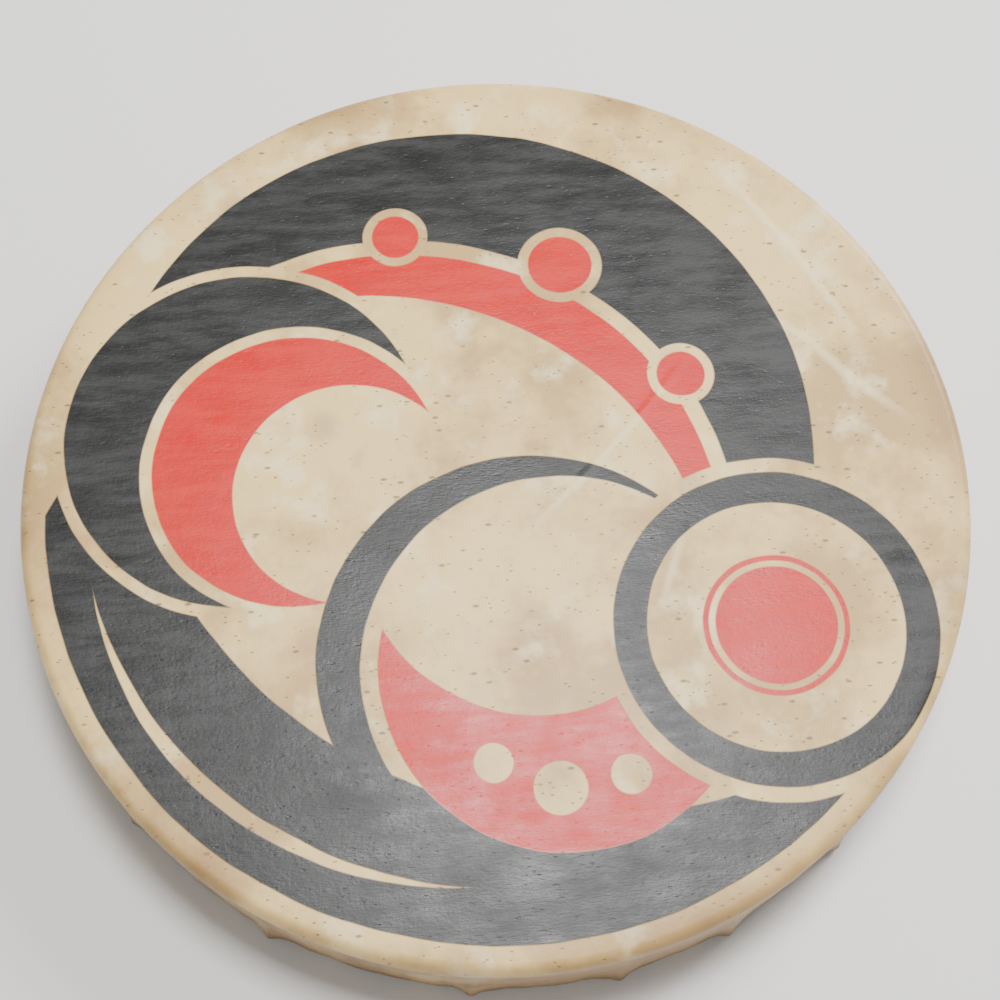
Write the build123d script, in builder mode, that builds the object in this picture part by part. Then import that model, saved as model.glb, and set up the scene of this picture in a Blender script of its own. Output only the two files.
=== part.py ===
"""Hand drum: a bent-wood hoop, a laced rawhide head and a cross handle gripped from behind.

The drum lies on its laced back edge with the head up. The origin is at the middle of the
plane that it rests on, +Z points out of the head, and every length is in millimetres.
"""

from build123d import *
import os
from math import radians, sin, sqrt, tan

# Driving dimensions
drum_diameter = 406.0  # over the rounded rim of the head
drum_depth = 62.0  # from the back edge to the head
hide_thickness = 1.2
hoop_wall = 10.0
fit_gap = 0.05  # between the dried hide and the hoop inside it
cut_overrun = 1.0  # how far a cutting shape stands clear of what it cuts
loose_fit = 0.1  # between two pieces that touch but aren't glued

# Hoop edges that the hide doesn't cover
hoop_back_inside_round = 4.0  # eased for the hand
hoop_head_inside_round = 1.5

# Rawhide head
rim_round = 5.0  # outside radius where the head turns down into the skirt
back_round = 3.0  # outside radius where the skirt turns in under the hoop
lip_lift_start = 194.0  # radius where the turned-in lip leaves the hoop
lip_knee = (184.0, 3.0)  # radius and height where the lip levels off along the laces
lip_edge = (168.0, 3.9)  # radius and height of the tips of the laced tongues
lip_lift_round = 8.0
lip_knee_round = 20.0
hole_radius_from_centre = 180.1
hole_diameter = 4.2
scallop_radius = 17.0
scallop_centre = 166.0
pucker_height = 36.0  # how far each pleat runs up the skirt from a lacing point
pucker_reach = 3.5  # how far a pleat stands out at the back edge
pucker_sink = 4.0  # each pleat is rooted this far inside the skirt, in the space of the hoop
pucker_slope = 1.5  # a pleat's half width for each millimetre that it stands out
pucker_crest = 1.0  # half the width of its blunt fold
pucker_overrun = 10.0  # the pleats run on inside the skin, so that each one fades out

# Lacing
lace_count = 20
laces_per_arm = 5
lace_diameter = 2.6
lace_clearance = 0.2
handle_turn = 5.0  # the handle was tied a little askew
# How far each hole strays from even spacing, in degrees: they were punched by eye.
hole_strays = (
    0.8, -1.4, 0.6, 1.5, -0.9, -0.4, 1.2, -1.6, 0.5, 1.1,
    -1.2, 0.4, -4.0, -0.3, 6.4, 6.0, 2.0, 1.0, -0.8, 0.3,
)

# Handle
handle_height = 11.0  # middle of the ring above the resting plane
ring_radius = 21.0
ring_section = 7.0
ring_wrap_section = 10.0
ring_wrap_span = 40.0  # degrees of ring covered between two arms
lace_pitch = 3.4  # side by side across an arm
arm_start = 28.0
arm_wrap_end = 60.0
lashing_length = 5.0
fan_start = 69.0  # where the laces spread out of an arm
fan_grip = 3.6  # how far each strand lies above or below the arm's middle there
fan_squeeze = 0.9  # the laces lie closer together there than at the ring
fan_turn = 7.0
tongue_pull = 2.0  # the strands meet the tongue this far inside the hole's middle
bundle_width = 16.8
bundle_height = 13.2
bundle_corner = 1.6
wrap_thickness = 2.2
wrap_corner = 6.0
lashing_thickness = 1.4
lashing_corner = 5.0
lashing_gap = 0.3
knot_length = 6.0
knot_width = 7.4
knot_height = 11.4
knot_corner = 3.6
knot_eye_width = 3.2
knot_eye_height = 8.2
knot_eye_corner = 1.5
knot_share = 0.7  # how far along its lace a knot sits, from the arm to the hole
knot_places = {"lace_start_knot": 2, "lace_end_knot": 12}  # the lace that each knot holds

# Hoop joint
scarf_start = 128.0  # degrees round the hoop
scarf_span = 24.0
scarf_blunt = 1.5  # thickness that the tapered ends are left with, so that they don't splinter
scarf_glue_line = 0.2
peg_diameter = 5.0
peg_clearance = 0.05
peg_heights = (18.0, 44.0)
peg_angles = (134.0, 146.0)

head_radius = drum_diameter / 2
hoop_outer = head_radius - hide_thickness - fit_gap
hoop_inner = hoop_outer - hoop_wall
hoop_bottom = hide_thickness + fit_gap
hoop_top = drum_depth - hide_thickness - fit_gap
lace_spacing = 360 / lace_count
hole_angles = [handle_turn + lace_spacing * k + hole_strays[k] for k in range(lace_count)]

os.makedirs("parts", exist_ok=True)


def write(name, builder):
    """Label a finished piece and write it as its own STEP file."""
    builder.part.label = name
    export_step(builder.part, f"parts/{name}.step")


def lip_height(radius):
    """Height of the underside of the turned-in lip at a radius inside its knee."""
    share = (lip_knee[0] - radius) / (lip_knee[0] - lip_edge[0])
    return lip_knee[1] + share * (lip_edge[1] - lip_knee[1])


# ---- Hoop: one strip of wood bent round, its ends tapered past each other and glued ----
with BuildPart() as hoop:
    with BuildSketch(Plane.XZ) as strip_section:
        with Locations(((hoop_outer + hoop_inner) / 2, (hoop_top + hoop_bottom) / 2)):
            Rectangle(hoop_wall, hoop_top - hoop_bottom)
        # Side of the section (-1 outer, 0 inner), end of that side (-1 head, 0 back) and radius.
        for side, end, radius in (
            (-1, -1, rim_round - hide_thickness),
            (-1, 0, back_round - hide_thickness),
            (0, 0, hoop_back_inside_round),
            (0, -1, hoop_head_inside_round),
        ):
            side_corners = strip_section.vertices().group_by(Axis.X)[side]
            fillet(side_corners.sort_by(Axis.Y)[end], radius)
    revolve(axis=Axis.Z)
    for angle in peg_angles:
        for height in peg_heights:
            outward = Vector(1, 0).rotate(Axis.Z, angle)
            hole_start = outward * (hoop_inner - cut_overrun) + Vector(0, 0, height)
            with BuildSketch(Plane(origin=hole_start, z_dir=outward)):
                Circle(peg_diameter / 2 + peg_clearance)
            extrude(amount=hoop_wall + 2 * cut_overrun, mode=Mode.SUBTRACT)
    with BuildSketch(Plane.XY):
        with BuildLine():
            taper = Spline([
                Vector(hoop_inner + scarf_blunt + (hoop_wall - 2 * scarf_blunt) * share, 0).rotate(
                    Axis.Z, scarf_start + scarf_span * share
                )
                for share in (0, 0.25, 0.5, 0.75, 1)
            ])
            Line(Vector(hoop_inner - cut_overrun, 0).rotate(Axis.Z, scarf_start), taper @ 0)
            scarf_end = scarf_start + scarf_span
            Line(taper @ 1, Vector(hoop_outer + cut_overrun, 0).rotate(Axis.Z, scarf_end))
        trace(line_width=scarf_glue_line)
    extrude(amount=drum_depth, mode=Mode.SUBTRACT)
write("hoop", hoop)

# ---- Four wooden pegs that pin the scarf joint, flush with the strip on both sides ----
with BuildPart() as scarf_pegs:
    for angle in peg_angles:
        for height in peg_heights:
            outward = Vector(1, 0).rotate(Axis.Z, angle)
            peg_end = outward * (hoop_inner + loose_fit) + Vector(0, 0, height)
            with BuildSketch(Plane(origin=peg_end, z_dir=outward)):
                Circle(peg_diameter / 2)
            extrude(amount=hoop_wall - 2 * loose_fit)
write("scarf_pegs", scarf_pegs)

# ---- Rawhide head: disc, rounded rim, skirt and turned-in lip in one dried skin ----
with BuildPart() as rawhide_head:
    with BuildSketch(Plane.XZ):
        with BuildLine():
            FilletPolyline(
                (0, drum_depth),
                (head_radius, drum_depth),
                (head_radius, 0),
                (lip_lift_start, 0),
                lip_knee,
                lip_edge,
                radius=(rim_round, back_round, lip_lift_round, lip_knee_round),
            )
            Polyline(lip_edge, (0, lip_edge[1]), (0, drum_depth))
        make_face()
    revolve(axis=Axis.Z)
    for angle in hole_angles:
        outward = Vector(1, 0).rotate(Axis.Z, angle)
        for height in (0, pucker_height + pucker_overrun):
            reach = pucker_reach * (1 - height / pucker_height)
            half = pucker_slope * (reach + pucker_sink) + pucker_crest
            foot = outward * head_radius + Vector(0, 0, height)
            with BuildSketch(Plane(origin=foot, x_dir=outward)):
                Polygon(
                    (-pucker_sink, half),
                    (-pucker_sink, -half),
                    (reach, -pucker_crest),
                    (reach, pucker_crest),
                    align=None,
                )
        loft()
    with BuildSketch(Plane.XZ):
        with BuildLine():
            FilletPolyline(
                (0, drum_depth - hide_thickness),
                (head_radius - hide_thickness, drum_depth - hide_thickness),
                (head_radius - hide_thickness, hide_thickness),
                (lip_lift_start, hide_thickness),
                (lip_knee[0], lip_knee[1] + hide_thickness),
                (lip_edge[0] - cut_overrun, lip_edge[1] + hide_thickness),
                (lip_edge[0] - cut_overrun, -cut_overrun),
                (0, -cut_overrun),
                radius=(
                    rim_round - hide_thickness, back_round - hide_thickness,
                    lip_lift_round, lip_knee_round, 0, 0,
                ),
            )
            Line((0, -cut_overrun), (0, drum_depth - hide_thickness))
        make_face()
    revolve(axis=Axis.Z, mode=Mode.SUBTRACT)
    for k, angle in enumerate(hole_angles):
        following = hole_angles[(k + 1) % lace_count]
        between = angle + (following - angle) % 360 / 2
        with BuildSketch(Plane.XY):
            with Locations(Vector(scallop_centre, 0).rotate(Axis.Z, between)):
                Circle(scallop_radius)
            with Locations(Vector(hole_radius_from_centre, 0).rotate(Axis.Z, angle)):
                Circle(hole_diameter / 2)
        extrude(amount=drum_depth / 2, mode=Mode.SUBTRACT)
write("rawhide_head", rawhide_head)

# ---- Twenty lace loops: each goes round the handle ring and round one tongue of the lip ----
ring_grip = ring_section / 2 + lace_diameter / 2 + loose_fit
tongue_middle = lip_height(hole_radius_from_centre - tongue_pull) + hide_thickness / 2
tongue_grip = hide_thickness / 2 + lace_diameter / 2 + lace_clearance
ring_turn = ring_grip - loose_fit
tongue_turn = tongue_grip - fit_gap
turn_radii = (ring_turn, ring_turn, fan_turn, tongue_turn, tongue_turn, fan_turn)


def rounded(before, corner, after, radius):
    """Start, middle and end of the arc that rounds a corner of a route in space."""
    back, on = (before - corner).normalized(), (after - corner).normalized()
    half = radians(back.get_angle(on)) / 2
    reach = radius / tan(half)
    middle = corner + (back + on).normalized() * (radius / sin(half) - radius)
    return corner + back * reach, middle, corner + on * reach


def lace_points(k):
    """Corners of one lace loop: round the ring, out along its arm, and round its tongue."""
    arm = (k + 2) // laces_per_arm % 4
    place = (k + 2) % laces_per_arm - 2
    arm_angle = handle_turn + 90 * arm
    side = place * lace_pitch
    ring_x = sqrt(ring_radius**2 - side**2)
    hole = Vector(hole_radius_from_centre, 0).rotate(Axis.Z, hole_angles[k])
    ring_inside = Vector(ring_x - ring_grip, side).rotate(Axis.Z, arm_angle)
    fan = Vector(fan_start, side * fan_squeeze).rotate(Axis.Z, arm_angle)
    up = Vector(0, 0, 1)
    return (
        ring_inside + up * (handle_height - ring_grip),
        ring_inside + up * (handle_height + ring_grip),
        fan + up * (handle_height + fan_grip),
        hole + up * (tongue_middle + tongue_grip),
        hole + up * (tongue_middle - tongue_grip),
        fan + up * (handle_height - fan_grip),
    )


for k in range(lace_count):
    corners = lace_points(k)
    arcs = [
        rounded(corners[i - 1], corners[i], corners[(i + 1) % len(corners)], turn_radii[i])
        for i in range(len(corners))
    ]
    with BuildPart() as lace:
        for first, last in ((0, 3), (3, 6)):
            with BuildLine():
                for i in range(first, last):
                    ThreePointArc(*arcs[i])
                    Line(arcs[i][2], arcs[(i + 1) % len(arcs)][0])
            strand_start = arcs[first][0]
            with BuildSketch(Plane(origin=strand_start, z_dir=strand_start - arcs[first - 1][2])):
                Circle(lace_diameter / 2)
            sweep()
    write(f"lace_{k + 1:02d}", lace)

# ---- Knots where the lace starts and ends, each tied round the two strands of one loop ----
for name, k in knot_places.items():
    corners = lace_points(k)
    inner = (corners[2] + corners[5]) / 2
    outer = (corners[3] + corners[4]) / 2
    along = (outer - inner).normalized()
    middle = inner + (outer - inner) * knot_share
    across = Vector(0, 0, 1).cross(along)
    with BuildPart() as knot:
        with BuildSketch(Plane(origin=middle, x_dir=across, z_dir=along)):
            RectangleRounded(knot_width, knot_height, knot_corner)
            RectangleRounded(knot_eye_width, knot_eye_height, knot_eye_corner, mode=Mode.SUBTRACT)
        extrude(amount=knot_length / 2, both=True)
    write(name, knot)

# ---- Handle ring, and the thong wound round it between the arms ----
with BuildPart() as handle_ring:
    with BuildSketch(Plane.XZ):
        with Locations((ring_radius, handle_height)):
            Circle(ring_section / 2)
    revolve(axis=Axis.Z)
write("handle_ring", handle_ring)

for arm in range(4):
    middle = handle_turn + 45 + 90 * arm
    with BuildPart() as ring_wrap:
        with BuildSketch(Plane.XZ.rotated((0, 0, middle - ring_wrap_span / 2))):
            with Locations((ring_radius, handle_height)):
                Circle(ring_wrap_section / 2)
                Circle(ring_section / 2 + loose_fit, mode=Mode.SUBTRACT)
        revolve(axis=Axis.Z, revolution_arc=ring_wrap_span)
    write(f"ring_wrap_{arm + 1}", ring_wrap)

# ---- Four arms of the handle: the laces are bound together, and lashed at the end ----
for arm in range(4):
    outward = Vector(1, 0).rotate(Axis.Z, handle_turn + 90 * arm)
    sideways = Vector(0, 1).rotate(Axis.Z, handle_turn + 90 * arm)
    lift = Vector(0, 0, handle_height)
    with BuildPart() as grip_wrap:
        wrap_start = outward * arm_start + lift
        with BuildSketch(Plane(origin=wrap_start, x_dir=sideways, z_dir=outward)):
            RectangleRounded(
                bundle_width + 2 * wrap_thickness,
                bundle_height + 2 * wrap_thickness,
                wrap_corner,
            )
            RectangleRounded(bundle_width, bundle_height, bundle_corner, mode=Mode.SUBTRACT)
        extrude(amount=arm_wrap_end - arm_start)
    write(f"grip_wrap_{arm + 1}", grip_wrap)
    with BuildPart() as lashing:
        lashing_start = outward * (arm_wrap_end + lashing_gap) + lift
        with BuildSketch(Plane(origin=lashing_start, x_dir=sideways, z_dir=outward)):
            RectangleRounded(
                bundle_width + 2 * lashing_thickness,
                bundle_height + 2 * lashing_thickness,
                lashing_corner,
            )
            RectangleRounded(bundle_width, bundle_height, bundle_corner, mode=Mode.SUBTRACT)
        extrude(amount=lashing_length)
    write(f"lashing_{arm + 1}", lashing)
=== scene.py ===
"""Hand drum of painted rawhide laced over a bent-wood hoop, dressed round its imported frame.

The drum lies on its laced back edge with the head up. Every length is in metres, +Z points
out of the head, and a piece's place is in its mesh.
"""

import logging
from dataclasses import dataclass
from enum import Enum
from math import cos, pi, radians, sin, sqrt
from typing import Any

import bmesh
import bpy
import numpy as np
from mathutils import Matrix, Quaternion, Vector


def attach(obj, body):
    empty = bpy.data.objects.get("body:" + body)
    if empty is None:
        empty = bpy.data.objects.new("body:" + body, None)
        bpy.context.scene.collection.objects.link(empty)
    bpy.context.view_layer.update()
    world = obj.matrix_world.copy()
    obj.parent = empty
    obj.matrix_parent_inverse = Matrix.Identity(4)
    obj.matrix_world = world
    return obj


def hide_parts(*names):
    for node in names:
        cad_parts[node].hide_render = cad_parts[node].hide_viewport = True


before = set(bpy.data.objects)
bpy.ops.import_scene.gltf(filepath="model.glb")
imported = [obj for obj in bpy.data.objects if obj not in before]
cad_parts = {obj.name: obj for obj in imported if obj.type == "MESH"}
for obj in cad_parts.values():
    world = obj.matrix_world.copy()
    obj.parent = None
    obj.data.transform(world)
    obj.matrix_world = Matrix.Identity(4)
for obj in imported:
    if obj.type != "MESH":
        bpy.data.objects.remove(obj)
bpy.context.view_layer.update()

log = logging.getLogger("hand drum")

Array = np.ndarray
Colour = tuple[float, float, float, float]
MM = 0.001
WELD = 1e-6
TURN = 2 * pi


# Shader maths


class Number:
    """One number in a shader, so that its maths is written as Python expressions."""

    def __init__(self, shader: "Shader", socket: bpy.types.NodeSocket) -> None:
        """Wrap a socket that gives a number."""
        self.shader = shader
        self.socket = socket

    def maths(self, operation: str, *values: Any) -> "Number":
        """Add one Math node.

        Args:
            operation: the Math node's operation.
            values: its inputs, in order, as numbers or Number.

        Returns:
            The node's result.
        """
        inputs = dict(enumerate(values))
        made = self.shader.node("ShaderNodeMath", {"operation": operation}, inputs)
        return Number(self.shader, made.outputs[0])

    def __add__(self, other: Any) -> "Number":
        """Sum."""
        return self.maths("ADD", self, other)

    def __radd__(self, other: Any) -> "Number":
        """Sum, from the right."""
        return self.maths("ADD", other, self)

    def __sub__(self, other: Any) -> "Number":
        """Difference."""
        return self.maths("SUBTRACT", self, other)

    def __rsub__(self, other: Any) -> "Number":
        """Difference, from the right."""
        return self.maths("SUBTRACT", other, self)

    def __mul__(self, other: Any) -> "Number":
        """Product."""
        return self.maths("MULTIPLY", self, other)

    def __rmul__(self, other: Any) -> "Number":
        """Product, from the right."""
        return self.maths("MULTIPLY", other, self)

    def __truediv__(self, other: Any) -> "Number":
        """Quotient."""
        return self.maths("DIVIDE", self, other)

    def __neg__(self) -> "Number":
        """Opposite."""
        return self.maths("MULTIPLY", self, -1.0)

    def __abs__(self) -> "Number":
        """Size without sign."""
        return self.maths("ABSOLUTE", self)

    def least(self, other: Any) -> "Number":
        """The smaller of two."""
        return self.maths("MINIMUM", self, other)

    def most(self, other: Any) -> "Number":
        """The larger of two."""
        return self.maths("MAXIMUM", self, other)

    def sine(self) -> "Number":
        """Sine of an angle in radians."""
        return self.maths("SINE", self)

    def rise(self, low: float, high: float) -> "Number":
        """A smooth step from 0 at low to 1 at high; low may be the larger.

        Args:
            low: where the step is 0.
            high: where the step is 1.

        Returns:
            The step, from 0 to 1.
        """
        made = self.shader.node(
            "ShaderNodeMapRange",
            {"interpolation_type": "SMOOTHSTEP", "clamp": True},
            {"Value": self, "From Min": low, "From Max": high, "To Min": 0.0, "To Max": 1.0},
        )
        return Number(self.shader, made.outputs[0])


class Shader:
    """The node tree of one material, with the object's own coordinates at hand."""

    def __init__(self, name: str) -> None:
        """Make an empty material with one Principled shader."""
        self.material = bpy.data.materials.new(name)
        self.material.use_nodes = True
        self.tree = self.material.node_tree
        self.tree.nodes.clear()
        self.body = self.node("ShaderNodeBsdfPrincipled")
        self.node("ShaderNodeOutputMaterial", {}, {"Surface": self.body.outputs[0]})
        coordinates = self.node("ShaderNodeTexCoord")
        self.place = coordinates.outputs["Object"]
        self.along = coordinates.outputs["UV"]

    def node(self, kind: str, settings: dict[str, Any] | None = None,
             inputs: dict[Any, Any] | None = None) -> bpy.types.Node:
        """Add any node.

        Args:
            kind: the node's type.
            settings: properties to set before its inputs, such as an operation.
            inputs: its sockets, by name or number, as values or links.

        Returns:
            The node.
        """
        made = self.tree.nodes.new(kind)
        for key, value in (settings or {}).items():
            setattr(made, key, value)
        for key, value in (inputs or {}).items():
            if isinstance(value, Number):
                value = value.socket
            if isinstance(value, bpy.types.NodeSocket):
                self.tree.links.new(value, made.inputs[key])
            else:
                made.inputs[key].default_value = value
        return made

    def parts(self, vector: Any) -> tuple[Number, Number, Number]:
        """The three parts of a vector."""
        split = self.node("ShaderNodeSeparateXYZ", {}, {0: vector})
        return tuple(Number(self, s) for s in split.outputs[:3])

    def vector(self, x: Any, y: Any, z: Any) -> bpy.types.NodeSocket:
        """A vector from its three parts."""
        return self.node("ShaderNodeCombineXYZ", {}, {0: x, 1: y, 2: z}).outputs[0]

    def distance(self, at: Any, x: float, y: float) -> Number:
        """How far a place is from a point of the head."""
        far = self.node("ShaderNodeVectorMath", {"operation": "DISTANCE"}, {0: at, 1: (x, y, 0.0)})
        return Number(self, far.outputs["Value"])

    def turned(self, angle: float, scale: tuple[float, float, float]) -> bpy.types.NodeSocket:
        """The object's coordinates, turned about +Z and drawn out."""
        settings = {"Vector": self.place, "Rotation": (0, 0, angle), "Scale": scale}
        return self.node("ShaderNodeMapping", {}, settings).outputs[0]

    def noise(self, at: Any, scale: float, detail: float = 3.0, rough: float = 0.55) -> Number:
        """Cloudy noise about 0.5.

        Args:
            at: where it is read.
            scale: its features per metre, or per unit of at.
            detail: how many finer layers it has.
            rough: how strong the finer layers are.

        Returns:
            The noise, from about 0.2 to 0.8.
        """
        made = self.node("ShaderNodeTexNoise", {"noise_dimensions": "3D"},
                         {"Vector": at, "Scale": scale, "Detail": detail, "Roughness": rough})
        return Number(self, made.outputs[0])

    def specks(self, at: Any, scale: float, radius: float, share: float) -> Number:
        """Round specks, one in some of the cells of a random pattern.

        Args:
            at: where they are read.
            scale: cells per metre.
            radius: a speck's radius as a share of a cell.
            share: the share of cells that hold one.

        Returns:
            1 inside a speck, 0 outside.
        """
        cells = self.node("ShaderNodeTexVoronoi", {"feature": "F1"},
                          {"Vector": at, "Scale": scale})
        near = Number(self, cells.outputs["Distance"]).rise(radius, radius * 0.4)
        lot = self.node("ShaderNodeSeparateColor", {}, {0: cells.outputs["Color"]})
        return near * Number(self, lot.outputs[0]).rise(share, share - 0.02)

    def mix(self, amount: Any, first: Any, second: Any) -> bpy.types.NodeSocket:
        """Blend two colours.

        Args:
            amount: 0 for the first, 1 for the second.
            first: a colour or a link.
            second: a colour or a link.

        Returns:
            The blended colour.
        """
        made = self.node("ShaderNodeMix", {"data_type": "RGBA", "blend_type": "MIX"},
                         {0: amount, 6: first, 7: second})
        return made.outputs[2]

    def finish(self, colour: Any, roughness: Any, height: Number | None = None,
               specular: float = 0.5) -> bpy.types.Material:
        """Join the shader's inputs.

        Args:
            colour: the surface colour.
            roughness: the surface roughness.
            height: relief in millimetres.
            specular: how strongly it mirrors, the same all over.

        Returns:
            The material.
        """
        for key, value in (("Base Color", colour), ("Roughness", roughness)):
            value = value.socket if isinstance(value, Number) else value
            if isinstance(value, bpy.types.NodeSocket):
                self.tree.links.new(value, self.body.inputs[key])
            else:
                self.body.inputs[key].default_value = value
        if height is not None:
            inputs = {"Height": height, "Distance": MM, "Strength": 1.0}
            bump = self.node("ShaderNodeBump", {}, inputs)
            self.tree.links.new(bump.outputs[0], self.body.inputs["Normal"])
        self.body.inputs["Specular IOR Level"].default_value = specular
        return self.material


# The painted motif


class Paint(Enum):
    """What a stroke of the motif leaves on the hide."""

    BLACK = "black"
    RED = "red"
    BARE = "bare"


@dataclass(frozen=True)
class Disc:
    """A circle on the head, in head radii from its middle."""

    x: float
    y: float
    radius: float


@dataclass(frozen=True)
class Stroke:
    """A painted shape: inside every disc of within, and outside every disc of without."""

    paint: Paint
    within: tuple[Disc, ...]
    without: tuple[Disc, ...] = ()


def bullseye(x: float, y: float, *rings: tuple[Paint, float]) -> list[Stroke]:
    """Discs about one middle, painted from the largest to the smallest."""
    return [Stroke(paint, (Disc(x, y, radius),)) for paint, radius in rings]


BLACK, RED, BARE = Paint.BLACK, Paint.RED, Paint.BARE

# Crescents, rings and beads, laid down in this order. The later ones cover the earlier ones.
MOTIF: list[Stroke] = [
    Stroke(BLACK, (Disc(0.0, 0.0, 0.945), Disc(-0.10, -0.45, 0.95)), (Disc(0.20, 0.27, 0.98),)),
    Stroke(BARE, (Disc(-0.093, -0.072, 0.758),), (Disc(0.012, 0.049, 0.888),)),
    Stroke(BLACK, (Disc(-0.08, 0.10, 0.76),), (Disc(-0.21, -0.12, 0.71),)),
    Stroke(RED, (Disc(-0.21, -0.12, 0.675),), (Disc(-0.29, -0.27, 0.727),)),
    Stroke(BARE, (Disc(-0.53, 0.14, 0.405),)),
    Stroke(BLACK, (Disc(-0.53, 0.14, 0.38),), (Disc(-0.42, 0.06, 0.33),)),
    Stroke(RED, (Disc(-0.42, 0.06, 0.305),), (Disc(-0.31, 0.00, 0.245),)),
    Stroke(BLACK, (Disc(0.05, -0.38, 0.44),), (Disc(0.11, -0.40, 0.41),)),
    Stroke(RED, (Disc(0.11, -0.40, 0.375),), (Disc(0.07, -0.14, 0.36),)),
    Stroke(BARE, (Disc(-0.045, -0.590, 0.040),)),
    Stroke(BARE, (Disc(0.085, -0.648, 0.054),)),
    Stroke(BARE, (Disc(0.225, -0.628, 0.040),)),
    *bullseye(-0.19, 0.60, (BARE, 0.072), (RED, 0.052)),
    *bullseye(0.17, 0.51, (BARE, 0.092), (RED, 0.070)),
    *bullseye(0.41, 0.23, (BARE, 0.072), (RED, 0.052)),
    *bullseye(0.55, -0.34, (BARE, 0.365), (BLACK, 0.335), (BARE, 0.265),
              (RED, 0.150), (BARE, 0.138), (RED, 0.125)),
]


@dataclass(frozen=True)
class Crease:
    """A crease on a circle's edge, shown only inside another disc."""

    circle: Disc
    shown: Disc


CREASES: list[Crease] = [
    Crease(Disc(-1.90, -1.01, 3.0), Disc(0.68, 0.50, 0.30)),
    Crease(Disc(-1.2, -1.9, 2.9), Disc(0.70, 0.20, 0.26)),
    Crease(Disc(2.9, -1.1, 2.7), Disc(0.28, -0.18, 0.16)),
    Crease(Disc(-1.6, 1.9, 2.6), Disc(0.30, 0.02, 0.34)),
]


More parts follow.
